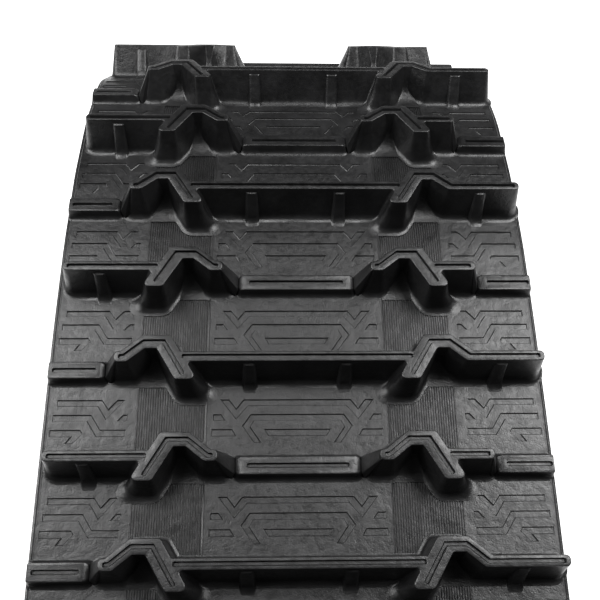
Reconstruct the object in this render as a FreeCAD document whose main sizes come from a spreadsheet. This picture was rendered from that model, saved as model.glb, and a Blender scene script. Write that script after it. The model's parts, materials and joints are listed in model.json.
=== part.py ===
"""Endless rubber track, 15 in wide, standing on its lugs as a flat oval loop.

The loop runs along +Y over the top. X is the belt's width, Z is up, and the origin is on the
ground under the middle of the loop. Along the belt, "row" is a line of lugs across the width and
"vertex" is the middle of the panel between two rows, where the belt bends. Heights from the cord
ply outwards are called "lift"; inwards they are negative.
"""

import FreeCAD, Part
import math
import os

DOC = FreeCAD.newDocument("rubber_track")
VECTOR = FreeCAD.Vector

# ---------------------------------------------------------------- driving dimensions (mm, degrees)

SIZES = {
    "belt_width": 381.0,
    "lug_pitch": 72.64,
    "row_count": 42,
    "rows_per_link": 3,
    # layers of the carcass
    "ply_thickness": 1.2,
    "inner_thickness": 3.0,
    "rod_diameter": 5.0,
    "rod_cover": 0.4,
    "rod_end_cover": 5.0,
    "ply_edge_cover": 3.0,
    # flexing
    "flat_half": 22.0,
    "link_gap": 0.4,
    "relief_margin": 0.5,
    "flatter_angle": 6.0,
    "rounder_angle": 7.0,
    # tall lugs
    "lug_height": 31.75,
    "lug_root": 3.0,
    "bar_top": 7.8,
    "fold_top": 10.5,
    "lug_draft": 4.0,
    "foot_a": 84.3,
    "foot_b": 108.1,
    "leg_run": 14.8,
    "peak_run": 14.5,
    "rise_run": 14.4,
    "peak_offset": 11.5,
    "foot_offset": 13.3,
    "fold_stub": 7.0,
    "outer_bar_margin": 7.5,
    "short_bar_reach": 30.4,
    # slots in the lug tops
    "slot_width": 3.4,
    "slot_depth": 2.5,
    "slot_land": 4.0,
    # low blocks
    "low_height": 8.5,
    "low_top": 13.4,
    "low_offset": 3.8,
    "low_gap": 9.5,
    "low_edge_margin": 0.5,
    "centre_low_half": 42.5,
    # drive lugs on the inside
    "drive_inner_row": 58.0,
    "drive_outer_row": 133.0,
    "drive_height": 25.0,
    "drive_width": 18.0,
    "drive_length": 26.0,
    "drive_taper": 4.0,
}

# Degrees through which the belt turns at each vertex, from the middle of the top run to the middle
# of a round end. They add up to 90, and the other three quarters of the loop repeat them.
QUARTER_TURNS = (0.0, 0.3, 0.7, 2.3, 5.0, 7.5, 11.0, 21.5, 31.7, 7.0, 3.0)

SHEET = DOC.addObject("Spreadsheet::Sheet", "sizes")
for line_number, (alias, value) in enumerate(SIZES.items(), start=1):
    SHEET.set(f"A{line_number}", alias)
    SHEET.set(f"B{line_number}", str(value))
    SHEET.setAlias(f"B{line_number}", alias)
DOC.recompute()


def size(alias):
    """The sheet's value of one size."""
    return float(SHEET.get(alias))


def bind(item, **formulas):
    """Ties an object's properties to formulas of the sheet's sizes."""
    for path, formula in formulas.items():
        words = formula.split()
        tied = " ".join(f"sizes.{word}" if word in SIZES else word for word in words)
        item.setExpression(path.replace("__", "."), tied)


# ---------------------------------------------------------------- the loop's layout

PITCH = size("lug_pitch")
ROWS = int(size("row_count"))
ROWS_PER_LINK = int(size("rows_per_link"))
LINKS = ROWS // ROWS_PER_LINK
SKIN_TOP = size("ply_thickness") / 2 + size("rod_diameter") + 2 * size("rod_cover")
TREAD_TOP = SKIN_TOP + size("lug_height")
FLEX_WAVES = 2


def wave(vertex):
    """Share of the loop's flexing at a vertex: 1 mid-run, about -1 at the round ends."""
    return math.cos(2 * math.pi * FLEX_WAVES * vertex / ROWS)


def rest_turn(vertex):
    """How far the belt turns down at a vertex, in radians, as it stands."""
    step = vertex % (ROWS // 2)
    return math.radians(QUARTER_TURNS[min(step, ROWS // 2 - step)])


def turn_limits(vertex):
    """Least and greatest turn at a link joint, in radians, over the loop's flexing."""
    flatter = math.radians(size("flatter_angle")) * wave(vertex)
    rounder = -math.radians(size("rounder_angle")) * wave(vertex)
    rest = rest_turn(vertex)
    return rest - max(flatter, rounder), rest - min(flatter, rounder)


def row_slope(row):
    """Angle of a row's flat below +Y, in radians."""
    return sum(rest_turn(vertex) for vertex in range(row + 1))


def along(slope):
    """Unit vector along the belt."""
    return VECTOR(0, math.cos(slope), -math.sin(slope))


def outward(slope):
    """Unit vector out of the belt's tread side."""
    return VECTOR(0, math.sin(slope), math.cos(slope))


def loop_vertices():
    """The loop's vertices in order, moved so that the lowest lug tops stand at Z = 0."""
    points = [VECTOR(0, 0, 0)]
    for row in range(ROWS):
        points.append(points[-1] + along(row_slope(row)) * PITCH)
    lowest = min(point.z for point in points)
    rise = VECTOR(0, 0, TREAD_TOP - lowest)
    return [point + rise for point in points]


VERTICES = loop_vertices()


def row_placement(row):
    """Frame of one row: X across, Y along the belt, Z outwards, origin in the ply."""
    middle = (VERTICES[row] + VERTICES[row + 1]) / 2
    turned = FreeCAD.Rotation(VECTOR(1, 0, 0), -math.degrees(row_slope(row)))
    return FreeCAD.Placement(middle, turned)


# ---------------------------------------------------------------- small modelling helpers


def sketch(name, edges, placement):
    """A closed sketch of given edges, drawn in its own XY plane."""
    drawn = DOC.addObject("Sketcher::SketchObject", name)
    drawn.addGeometry(edges)
    drawn.Placement = placement
    return drawn


def closed_lines(corners):
    """Line segments round a list of (x, y) corners."""
    points = [VECTOR(x, y, 0) for x, y in corners]
    return [Part.LineSegment(a, b) for a, b in zip(points, points[1:] + points[:1])]


def outline(path, half, reach):
    """Corners of a band along an open path: half its width each side, mitred at the bends,
    and carried past both ends by reach."""
    ends = []
    for tip, beside in ((path[0], path[1]), (path[-1], path[-2])):
        run = math.hypot(tip[0] - beside[0], tip[1] - beside[1])
        ends.append(tuple(t + (t - b) * reach / run for t, b in zip(tip, beside)))
    spine = [ends[0], *path[1:-1], ends[1]]
    headings = [math.atan2(b[1] - a[1], b[0] - a[0]) for a, b in zip(spine, spine[1:])]
    left, right = [], []
    for place, (x, y) in enumerate(spine):
        before = headings[max(place - 1, 0)]
        after = headings[min(place, len(headings) - 1)]
        middle = (before + after) / 2
        offset = half / math.cos((after - before) / 2)
        side = (-math.sin(middle) * offset, math.cos(middle) * offset)
        left.append((x + side[0], y + side[1]))
        right.append((x - side[0], y - side[1]))
    return left + right[::-1]


def at_height(formula):
    """A placement for a flat sketch, and the formula that sets its height."""
    return FreeCAD.Placement(), {"Placement__Base__z": formula}


SKIN_HEIGHT = "ply_thickness / 2 + rod_diameter + 2 * rod_cover"
ROOT_HEIGHT = f"{SKIN_HEIGHT} - lug_root"
TOP_HEIGHT = f"{SKIN_HEIGHT} + lug_height"
LOW_TOP_HEIGHT = f"{SKIN_HEIGHT} + low_height"


def wall(name, path, top_width, top_height):
    """A drafted wall along a path, from its root in the skin up to top_height."""
    draft = size("lug_draft")
    sections = []
    for level, half, reach, height in (
        ("root", top_width / 2 + draft, draft, ROOT_HEIGHT),
        ("top", top_width / 2, 0.0, top_height),
    ):
        flat, lift = at_height(height)
        section = sketch(f"{name}_{level}", closed_lines(outline(path, half, reach)), flat)
        bind(section, **lift)
        sections.append(section)
    loft = DOC.addObject("Part::Loft", name)
    loft.Sections = sections
    loft.Solid = True
    loft.Ruled = True
    return loft


def slot(name, path, top_height):
    """The narrow groove sunk along the middle of a lug's top."""
    flat, lift = at_height(f"{top_height} - slot_depth")
    corners = outline(path, size("slot_width") / 2, -size("slot_land"))
    floor = sketch(f"{name}_floor", closed_lines(corners), flat)
    bind(floor, **lift)
    groove = DOC.addObject("Part::Extrusion", name)
    groove.Base = floor
    groove.DirMode = "Normal"
    groove.Solid = True
    bind(groove, LengthFwd="slot_depth * 2")
    return groove


def joined(name, pieces):
    """Several solids moulded as one."""
    union = DOC.addObject("Part::MultiFuse", name)
    union.Shapes = pieces
    return union


def cut(name, base, tool):
    """One solid less another."""
    less = DOC.addObject("Part::Cut", name)
    less.Base = base
    less.Tool = tool
    return less


def mirrored(path):
    """The same path on the other side of the belt's centre."""
    return [(-x, y) for x, y in path]


# ---------------------------------------------------------------- patterns for one row of lugs

BELT_HALF = size("belt_width") / 2
OUTER_BAR_END = BELT_HALF - size("outer_bar_margin")


def fold_path(foot, outwards):
    """The W fold beside a foot: foot, long leg, peak, short leg, and a stub at bar level.
    outwards is 1 where the fold runs away from the belt's centre, -1 towards it."""
    run = foot
    path = [(run, -size("foot_offset"))]
    for step, level in (
        ("leg_run", "peak_offset"),
        ("peak_run", "peak_offset"),
        ("rise_run", None),
        ("fold_stub", None),
    ):
        run += outwards * size(step)
        path.append((run, size(level) if level else 0.0))
    return path


def leg_crossing(foot, outwards):
    """Where a fold's long leg crosses the row's line."""
    share = size("foot_offset") / (size("foot_offset") + size("peak_offset"))
    return foot + outwards * size("leg_run") * share


FOLD_A = fold_path(size("foot_a"), 1)
FOLD_B = fold_path(size("foot_b"), -1)
CROSSING_A = leg_crossing(size("foot_a"), 1)
CROSSING_B = leg_crossing(size("foot_b"), -1)
SHORT_BAR_END = size("foot_b") + size("short_bar_reach")


def lug(name, folds, bars):
    """One tall lug: folds and straight bars moulded together, with slots along their tops."""
    walls, slots = [], []
    for kind, paths, top in (("fold", folds, "fold_top"), ("bar", bars, "bar_top")):
        for number, path in enumerate(paths, start=1):
            walls.append(wall(f"{name}_{kind}_{number}", path, size(top), TOP_HEIGHT))
            slots.append(slot(f"{name}_{kind}_slot_{number}", path, TOP_HEIGHT))
    return cut(name, joined(f"{name}_body", walls), joined(f"{name}_slots", slots))


def low_block(name, start, end):
    """One low block across the belt, with its slot."""
    line = -size("low_offset")
    path = [(start, line), (end, line)]
    block = wall(f"{name}_body", path, size("low_top"), LOW_TOP_HEIGHT)
    return cut(name, block, slot(f"{name}_slot", path, LOW_TOP_HEIGHT))


def row_a():
    """Row with one lug from the left fold to the right edge, and a low block on the left."""
    right_fold = FOLD_A[:-1] + [(OUTER_BAR_END, 0.0)]
    centre_bar = [(-CROSSING_A, 0.0), (CROSSING_A, 0.0)]
    tall = lug("tall_lug_a", [mirrored(FOLD_A), right_fold], [centre_bar])
    inner_end = FOLD_A[-1][0] + size("low_gap")
    outer_end = BELT_HALF - size("low_edge_margin") - size("lug_draft")
    return [tall, low_block("low_block_a", -outer_end, -inner_end)]


def row_b():
    """Row with a lug on each side of a low centre block, and a low block on the right."""
    left = lug("tall_lug_b_left", [mirrored(FOLD_B)], [[(-OUTER_BAR_END, 0.0), (-CROSSING_B, 0.0)]])
    right = lug("tall_lug_b_right", [FOLD_B], [[(CROSSING_B, 0.0), (SHORT_BAR_END, 0.0)]])
    centre = low_block("low_block_centre", -size("centre_low_half"), size("centre_low_half"))
    inner_end = SHORT_BAR_END + size("low_gap")
    outer_end = BELT_HALF - size("low_edge_margin") - size("lug_draft")
    return [left, right, centre, low_block("low_block_b", inner_end, outer_end)]


def drive_lug(name, across):
    """A tapered tooth on the belt's inside, centred at across, pointing inwards."""
    tooth = DOC.addObject("Part::Wedge", name)
    half_width, half_length = "drive_width / 2", "drive_length / 2"
    bind(
        tooth,
        Xmin=f"{across} - {half_width}",
        Xmax=f"{across} + {half_width}",
        Zmin=f"0 - {half_length}",
        Zmax=half_length,
        X2min=f"{across} - {half_width} + drive_taper",
        X2max=f"{across} + {half_width} - drive_taper",
        Z2min=f"0 - {half_length} + drive_taper",
        Z2max=f"{half_length} - drive_taper",
        Ymin="ply_thickness / 2 + inner_thickness / 2",
        Ymax="ply_thickness / 2 + inner_thickness + drive_height",
    )
    tooth.Placement = FreeCAD.Placement(VECTOR(), FreeCAD.Rotation(VECTOR(1, 0, 0), -90))
    holder = DOC.addObject("Part::Compound", f"{name}_tooth")
    holder.Links = [tooth]
    return holder


ROW_LUGS = [row_a(), row_b()]
DRIVE_LUGS = [
    drive_lug("drive_lug_left_outer", "0 - drive_outer_row"),
    drive_lug("drive_lug_left_inner", "0 - drive_inner_row"),
    drive_lug("drive_lug_right_inner", "drive_inner_row"),
    drive_lug("drive_lug_right_outer", "drive_outer_row"),
]


# ---------------------------------------------------------------- one link of the belt


def end_point(vertex, slope, lift, inwards):
    """A corner of a link's end face, set back so that the links clear each other as they turn.
    inwards is 1 at a link's start and -1 at its end."""
    least, greatest = turn_limits(vertex)
    margin = math.radians(size("relief_margin"))
    closing = max(0.0, -least / 2) if lift > 0 else greatest / 2
    setback = size("link_gap") / 2 + abs(lift) * math.tan(closing + margin)
    return VERTICES[vertex] + along(slope) * (inwards * setback) + outward(slope) * lift


def bend_points(vertex, lift):
    """Start, middle and end of a layer's arc round a bend inside a link."""
    turn = rest_turn(vertex)
    before, after = row_slope(vertex - 1), row_slope(vertex)
    tangent = PITCH / 2 - size("flat_half")
    radius = tangent / math.tan(turn / 2)
    start = VERTICES[vertex] - along(before) * tangent
    centre = start - outward(before) * radius
    return [centre + outward(slope) * (radius + lift) for slope in (before, before + turn / 2, after)]


def side(first, last, lift):
    """One face of a layer, seen from its edge: a list of lines (two points) and arcs (three)."""
    runs = []
    here = end_point(first, row_slope(first), lift, 1)
    for vertex in range(first + 1, last):
        start, middle, end = bend_points(vertex, lift)
        runs += [[here, start], [start, middle, end]]
        here = end
    runs.append([here, end_point(last, row_slope(last - 1), lift, -1)])
    return runs


SIDEWAYS = FreeCAD.Placement(VECTOR(), FreeCAD.Rotation(VECTOR(1, 1, 1), 120))


def layer(name, link, low, high, width="belt_width"):
    """A layer of the belt over one link, between two lifts, as wide as the formula says."""
    first, last = link * ROWS_PER_LINK, (link + 1) * ROWS_PER_LINK
    top = side(first, last, high)
    base = [run[::-1] for run in side(first, last, low)[::-1]]
    runs = [*top, [top[-1][-1], base[0][0]], *base, [base[-1][-1], top[0][0]]]
    edges = []
    for run in runs:
        flat = [VECTOR(point.y, point.z, 0) for point in run]
        edges.append(Part.LineSegment(*flat) if len(flat) == 2 else Part.Arc(*flat))
    strip = DOC.addObject("Part::Extrusion", name)
    strip.Base = sketch(f"{name}_section", edges, SIDEWAYS)
    strip.DirMode = "Normal"
    strip.Symmetric = True
    strip.Solid = True
    bind(strip, LengthFwd=width)
    return strip


def copies(name, patterns, row):
    """The row's own copies of some patterns."""
    placed = []
    for pattern in patterns:
        copy = DOC.addObject("App::Link", f"{name}_{pattern.Name}_{row}")
        copy.LinkedObject = pattern
        copy.Placement = row_placement(row)
        placed.append(copy)
    return placed


def rods(link):
    """The stiffening rods of one link, one under each row of lugs."""
    bars = []
    for row in range(link * ROWS_PER_LINK, (link + 1) * ROWS_PER_LINK):
        rod = DOC.addObject("Part::Cylinder", f"rod_{row + 1:02d}")
        bind(rod, Radius="rod_diameter / 2", Height="belt_width - 2 * rod_end_cover")
        lift = SKIN_TOP - size("rod_cover") - size("rod_diameter") / 2
        start = VECTOR(-BELT_HALF + size("rod_end_cover"), 0, lift)
        lying = FreeCAD.Placement(start, FreeCAD.Rotation(VECTOR(0, 1, 0), 90))
        rod.Placement = row_placement(row).multiply(lying)
        bars.append(rod)
    group = DOC.addObject("Part::Compound", f"rods_{link + 1:02d}_group")
    group.Links = bars
    return group


def build_link(link):
    """The four sub-parts of one link, by node name."""
    number = f"{link + 1:02d}"
    half_ply = size("ply_thickness") / 2
    bars = rods(link)
    ply = layer(f"ply_{number}", link, -half_ply, half_ply, "belt_width - 2 * ply_edge_cover")
    skin = [layer(f"skin_{number}", link, 0.0, SKIN_TOP)]
    inner = [layer(f"inner_{number}", link, -half_ply - size("inner_thickness"), 0.0)]
    for row in range(link * ROWS_PER_LINK, (link + 1) * ROWS_PER_LINK):
        skin += copies("tread", ROW_LUGS[row % len(ROW_LUGS)], row)
        inner += copies("drive", DRIVE_LUGS, row)
    embedded = DOC.addObject("Part::Compound", f"embedded_{number}")
    embedded.Links = [ply, bars]
    return {
        f"tread_{number}": cut(f"tread_{number}_cut", joined(f"tread_{number}_solid", skin), embedded),
        f"cord_ply_{number}": ply,
        f"drive_{number}": cut(f"drive_{number}_cut", joined(f"drive_{number}_solid", inner), ply),
        f"rods_{number}": bars,
    }


# ---------------------------------------------------------------- build, check and write

NODES = {}
for link_index in range(LINKS):
    NODES.update(build_link(link_index))
for node, item in NODES.items():
    item.Label = node
DOC.recompute()

for item in DOC.Objects:
    if {"Invalid", "Error"} & set(item.State):
        raise RuntimeError(f"{item.Name} failed: {item.State}")
for node, item in NODES.items():
    if item.Shape.isNull() or not item.Shape.isValid() or not item.Shape.Solids:
        raise RuntimeError(f"{node} has no valid solid")

os.makedirs("parts", exist_ok=True)
for node, item in NODES.items():
    item.Shape.exportStep(f"parts/{node}.step")

box = Part.makeCompound([item.Shape for item in NODES.values()]).BoundBox
print(f"{len(NODES)} nodes, box {box.XMin:.2f} {box.YMin:.2f} {box.ZMin:.2f}"
      f" to {box.XMax:.2f} {box.YMax:.2f} {box.ZMax:.2f}")
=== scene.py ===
"""Looks of an endless rubber track: tread skin, lugs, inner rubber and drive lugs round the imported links.

Every pattern is drawn flat, in millimetres, as (across, along, lift): across the belt, along it
from a row of lugs, and out of the cord ply. BeltLayout then lays it round the loop.
"""

import json
import logging
import math
from collections.abc import Iterable, Sequence
from dataclasses import dataclass, field
from enum import Enum

import bmesh
import bpy
import numpy as np
from mathutils import Matrix, Vector
from mathutils.geometry import delaunay_2d_cdt, tessellate_polygon


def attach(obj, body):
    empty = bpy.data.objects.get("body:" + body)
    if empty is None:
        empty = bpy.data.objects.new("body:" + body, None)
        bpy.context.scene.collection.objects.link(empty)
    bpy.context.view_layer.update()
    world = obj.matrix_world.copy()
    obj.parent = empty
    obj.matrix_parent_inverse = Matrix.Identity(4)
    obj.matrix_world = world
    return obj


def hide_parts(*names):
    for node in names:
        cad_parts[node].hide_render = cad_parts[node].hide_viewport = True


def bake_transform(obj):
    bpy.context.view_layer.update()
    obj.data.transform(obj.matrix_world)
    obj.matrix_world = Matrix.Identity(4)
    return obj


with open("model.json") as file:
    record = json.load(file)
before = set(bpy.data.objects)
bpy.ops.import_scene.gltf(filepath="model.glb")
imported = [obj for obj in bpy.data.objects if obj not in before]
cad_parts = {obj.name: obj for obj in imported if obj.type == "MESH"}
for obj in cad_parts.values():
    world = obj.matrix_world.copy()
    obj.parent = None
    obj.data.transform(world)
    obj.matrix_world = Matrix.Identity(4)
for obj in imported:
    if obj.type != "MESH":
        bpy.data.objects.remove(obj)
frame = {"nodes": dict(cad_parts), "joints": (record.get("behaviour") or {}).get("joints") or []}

LOG = logging.getLogger("rubber_track")
MM = 0.001
SKIN_TOP = 6.4
BELT_HALF = 190.5
LUG_CREASE = 38
SKIN_CREASE = 28

Flat = tuple[float, float]
Solid = tuple[float, float, float]
Line = tuple[np.ndarray, np.ndarray]
Noise = tuple[float, float, Solid]
Socket = bpy.types.NodeSocket
Paint = bpy.types.Material


# the belt's layout


@dataclass
class BeltLayout:
    """Where each row and panel of the belt lies round the loop, in millimetres."""

    apex: Flat
    pitch: float = 72.64
    rows: int = 42
    rows_per_link: int = 3
    flat_half: float = 22.0
    quarter_turns: tuple[float, ...] = (0.0, 0.3, 0.7, 2.3, 5.0, 7.5, 11.0, 21.5, 31.7, 7.0, 3.0)

    def __post_init__(self) -> None:
        """Works out the slope of every row's flat and the place of every vertex between rows."""
        self.slopes = np.cumsum([self.turn(vertex) for vertex in range(self.rows + 1)])
        points = [np.array(self.apex)]
        for slope in self.slopes[:-1]:
            points.append(points[-1] + self.pitch * self.along(slope))
        self.vertices = np.array(points)

    @property
    def links(self) -> int:
        """How many links the loop is made of."""
        return self.rows // self.rows_per_link

    def turn(self, vertex: int) -> float:
        """Angle, in radians, through which the belt turns down at a vertex."""
        step = vertex % (self.rows // 2)
        return math.radians(self.quarter_turns[min(step, self.rows // 2 - step)])

    @staticmethod
    def along(slope: float | np.ndarray) -> np.ndarray:
        """Direction along the belt, as (y, z), at a slope below +Y."""
        return np.stack([np.cos(slope), -np.sin(slope)], axis=-1)

    @staticmethod
    def outward(slope: float | np.ndarray) -> np.ndarray:
        """Direction out of the tread side, as (y, z), at a slope below +Y."""
        return np.stack([np.sin(slope), np.cos(slope)], axis=-1)

    def link_name(self, row: int) -> str:
        """Name of the body that carries a row."""
        return f"link_{row % self.rows // self.rows_per_link + 1:02d}"

    def row_matrix(self, row: int) -> Matrix:
        """Place of one row in the frame, in metres.

        Args:
            row: number of the row, counted from the one after the loop's top.

        Returns:
            The matrix that takes (across, along, lift) from the row's line into the frame.
        """
        y, z = (self.vertices[row] + self.vertices[row + 1]) / 2 * MM
        return Matrix.Translation((0, y, z)) @ Matrix.Rotation(-self.slopes[row], 4, "X")

    def lay(self, points: np.ndarray) -> np.ndarray:
        """Lays flat points round the loop.

        Args:
            points: rows of (across, along, lift), with along counted from the top vertex.

        Returns:
            The same points in the frame, in metres.
        """
        across, along, lift = points.T
        vertex = np.rint(along / self.pitch).astype(int)
        beyond = along - vertex * self.pitch
        before = np.where(vertex > 0, self.slopes[vertex - 1], 0.0)
        after = self.slopes[vertex]
        tangent = self.pitch / 2 - self.flat_half
        share = np.clip((beyond + tangent) / (2 * tangent), 0, 1)
        slope = before + (after - before) * share
        turn = np.maximum(after - before, 1e-9)
        radius = tangent / np.tan(turn / 2)
        start = self.vertices[vertex] - tangent * self.along(before)
        centre = start - radius[:, None] * self.outward(before)
        on_arc = centre + (radius + lift)[:, None] * self.outward(slope)
        on_flat = (
            self.vertices[vertex]
            + beyond[:, None] * self.along(slope)
            + lift[:, None] * self.outward(slope)
        )
        curved = (np.abs(beyond) < tangent) & (after - before > 1e-6)
        placed = np.where(curved[:, None], on_arc, on_flat)
        return np.column_stack([across, placed]) * MM


# drawing meshes


class Draft:
    """Points and faces of one mesh while it is being drawn, in millimetres."""

    def __init__(self) -> None:
        """Starts with nothing drawn."""
        self.points: list[Solid] = []
        self.faces: list[tuple[int, ...]] = []

    def add(self, points: Iterable[Sequence[float]], faces: Iterable[Sequence[int]]) -> None:
        """Adds points, and faces whose corners are counted from the first of them."""
        base = len(self.points)
        self.points += [tuple(point) for point in points]
        self.faces += [tuple(base + corner for corner in face) for face in faces]

    def rings(self, rings: Sequence[Sequence[Solid]]) -> None:
        """Joins closed rings of equal count, each to the next, with bands of quads."""
        count = len(rings[0])
        faces = []
        for level in range(len(rings) - 1):
            for place in range(count):
                after = (place + 1) % count
                low, high = level * count, (level + 1) * count
                faces.append((low + place, low + after, high + after, high + place))
        self.add([point for ring in rings for point in ring], faces)

    def cap(self, outer: Sequence[Solid], holes: Sequence[Sequence[Solid]] = ()) -> None:
        """Closes a flat ring with triangles, leaving the holes open."""
        loops = [[Vector(point) for point in ring] for ring in (outer, *holes)]
        self.add([point for ring in loops for point in ring], tessellate_polygon(loops))

    def sweep(self, sections: Sequence[Sequence[Flat]], stations: Sequence[float]) -> None:
        """Joins sections, each given as (across, lift), one at each of the belt's stations."""
        count = len(sections[0])
        points = [(x, station, lift) for section, station in zip(sections, stations) for x, lift in section]
        corners = [row * count + place for row in range(len(stations) - 1) for place in range(count - 1)]
        self.add(points, [(low, low + 1, low + count + 1, low + count) for low in corners])

    def grid(self, section: Sequence[Flat], stations: Sequence[float]) -> None:
        """Sweeps one section straight along the belt's stations."""
        self.sweep([section] * len(stations), stations)

    def hull(self, points: Sequence[Solid], rounding: float) -> None:
        """Adds the convex body round some points, with its edges rounded off."""
        work = bmesh.new()
        corners = [work.verts.new(point) for point in points]
        made = bmesh.ops.convex_hull(work, input=corners)
        spare = {part for part in made["geom_interior"] + made["geom_unused"]
                 if isinstance(part, bmesh.types.BMVert)}
        bmesh.ops.delete(work, geom=list(spare), context="VERTS")
        bmesh.ops.dissolve_limit(work, angle_limit=0.02, verts=work.verts, edges=work.edges)
        bmesh.ops.bevel(work, geom=work.edges, offset=rounding, segments=3, profile=0.5,
                        affect="EDGES", clamp_overlap=True)
        work.verts.index_update()
        self.add([vert.co for vert in work.verts],
                 [[vert.index for vert in face.verts] for face in work.faces])
        work.free()

    def mesh(self, name: str, placed: np.ndarray, crease: float, fill: bool = False) -> bpy.types.Mesh:
        """Makes the mesh, with its faces turned outwards and its sharp edges marked.

        Args:
            name: name of the mesh.
            placed: the draft's points where they belong, in metres.
            crease: angle, in degrees, above which an edge stays sharp.
            fill: True to close the openings that are left at the ends.

        Returns:
            The finished mesh.
        """
        mesh = bpy.data.meshes.new(name)
        mesh.from_pydata([tuple(point) for point in placed], [], self.faces)
        work = bmesh.new()
        work.from_mesh(mesh)
        bmesh.ops.remove_doubles(work, verts=work.verts, dist=0.002 * MM)
        if fill:
            edges = [edge for edge in work.edges if edge.is_boundary]
            bmesh.ops.holes_fill(work, edges=edges, sides=0)
        bmesh.ops.recalc_face_normals(work, faces=work.faces)
        work.to_mesh(mesh)
        work.free()
        mesh.shade_smooth()
        mesh.set_sharp_from_angle(angle=math.radians(crease))
        return mesh


def show(mesh: bpy.types.Mesh, matrix: Matrix | None = None) -> bpy.types.Object:
    """Puts a mesh into the scene as an object of the same name."""
    shown = bpy.data.objects.new(mesh.name, mesh)
    bpy.context.scene.collection.objects.link(shown)
    if matrix is not None:
        shown.matrix_world = matrix
    return shown


def on_rows(layout: BeltLayout, patterns: Sequence[Draft], title: str, node: str,
            paint: Paint) -> None:
    """Places copies of flat patterns on every row, each pattern in its turn.

    Args:
        layout: the belt's layout.
        patterns: the flat patterns.
        title: first part of the pieces' names.
        node: first part of the names of the nodes that the pieces stand for.
        paint: the finish of the pieces.
    """
    meshes = [draft.mesh(f"{title}_pattern", np.array(draft.points) * MM, LUG_CREASE) for draft in patterns]
    for row in range(layout.rows):
        mesh = meshes[row % len(meshes)].copy()
        mesh.name = f"{title}_{row + 1:02d}"
        mesh.materials.append(paint)
        piece = show(mesh, layout.row_matrix(row))
        link = layout.link_name(row)
        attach(piece, link)
        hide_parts(link.replace("link", node))
        LOG.info("%s on %s", piece.name, link)
    for mesh in meshes:
        bpy.data.meshes.remove(mesh)


# lugs in plan


@dataclass(frozen=True)
class Wall:
    """Section of a lug's wall: rounded top edge, drafted face and fillet at the foot."""

    height: float
    draft: float
    fillet: float
    edge: float = 0.6

    def spread(self, lift: float) -> float:
        """How far the wall stands outside the lug's top outline at a lift above the skin."""
        shoulder = self.height - self.edge
        if lift > shoulder:
            return math.sqrt(max(self.edge**2 - (lift - shoulder) ** 2, 0.0)) - self.edge
        drafted = self.draft * (shoulder - lift) / shoulder
        drop = min(max(self.fillet - lift, 0.0), self.fillet)
        return drafted + self.fillet - math.sqrt(self.fillet**2 - drop**2)


@dataclass(frozen=True)
class Slope:
    """Section of a lug's end that runs down in straight facets."""

    lifts: tuple[float, ...]
    spreads: tuple[float, ...]

    def spread(self, lift: float) -> float:
        """How far the end stands outside the lug's top outline at a lift above the skin."""
        return float(np.interp(lift, self.lifts, self.spreads))


@dataclass(frozen=True)
class Buttress:
    """A short rib that props the front of a tall lug."""

    across: float
    top_width: float = 7.6
    foot_width: float = 10.5
    depth: float = 1.1
    foot_depth: float = 4.2
    root: float = 0.8
    shoulder: float = 1.2
    shoulder_depth: float = 0.7

    def reach(self, lift: float, cap: float) -> tuple[float, float]:
        """Half width and depth of the rib at a lift, nothing above its cap."""
        if lift >= cap:
            return self.top_width / 2, 0.0
        share = 1 - lift / cap
        half = (self.top_width + (self.foot_width - self.top_width) * share) / 2
        return half, self.depth + (self.foot_depth - self.depth) * share

    def profile(self, lift: float, cap: float) -> list[Flat]:
        """The rib's outline at a lift, as steps along the wall and out of it."""
        half, depth = self.reach(lift, cap)
        flank, face = (-half, depth * self.shoulder_depth), (-half + self.shoulder, depth)
        left = [(-half - self.root, 0.0), flank, face]
        return left + [(-step, out) for step, out in reversed(left)]


@dataclass(frozen=True)
class Side:
    """One straight side of a lug's outline, with the lug on its right as it runs."""

    start: Flat
    end: Flat
    half: float
    wall: Wall | Slope
    buttresses: tuple[Buttress, ...] = ()

    def line(self, lift: float) -> Line:
        """A point on the side at a lift, and the side's direction."""
        run = np.subtract(self.end, self.start)
        run = run / np.linalg.norm(run)
        shift = self.half + self.wall.spread(lift)
        return np.add(self.start, np.array([-run[1], run[0]]) * shift), run


def end_side(across: float, facing: int, wall: Wall | Slope, line: float = 0.0) -> Side:
    """The side across a bar's end, at its left where facing is 1 and at its right where -1."""
    return Side((across, line - facing), (across, line + facing), 0.0, wall)


def block_sides(ends: Flat, line: float, half: float, walls: Sequence[Wall | Slope]) -> list[Side]:
    """Sides of a straight block across the belt.

    Args:
        ends: where its left and right ends are.
        line: where its centreline is, along the belt.
        half: half its thickness along the belt.
        walls: walls of its left end, back, right end and front.

    Returns:
        Its four sides, clockwise.
    """
    left, right = (ends[0], line), (ends[1], line)
    return [
        end_side(ends[0], 1, walls[0], line),
        Side(left, right, half, walls[1]),
        end_side(ends[1], -1, walls[2], line),
        Side(right, left, half, walls[3]),
    ]


def crossing(first: Line, second: Line) -> np.ndarray:
    """Where two lines, each a point and a direction, cross."""
    (a, along), (b, across) = first, second
    reach = np.linalg.solve(np.column_stack([along, -across]), b - a)[0]
    return a + along * reach


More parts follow.
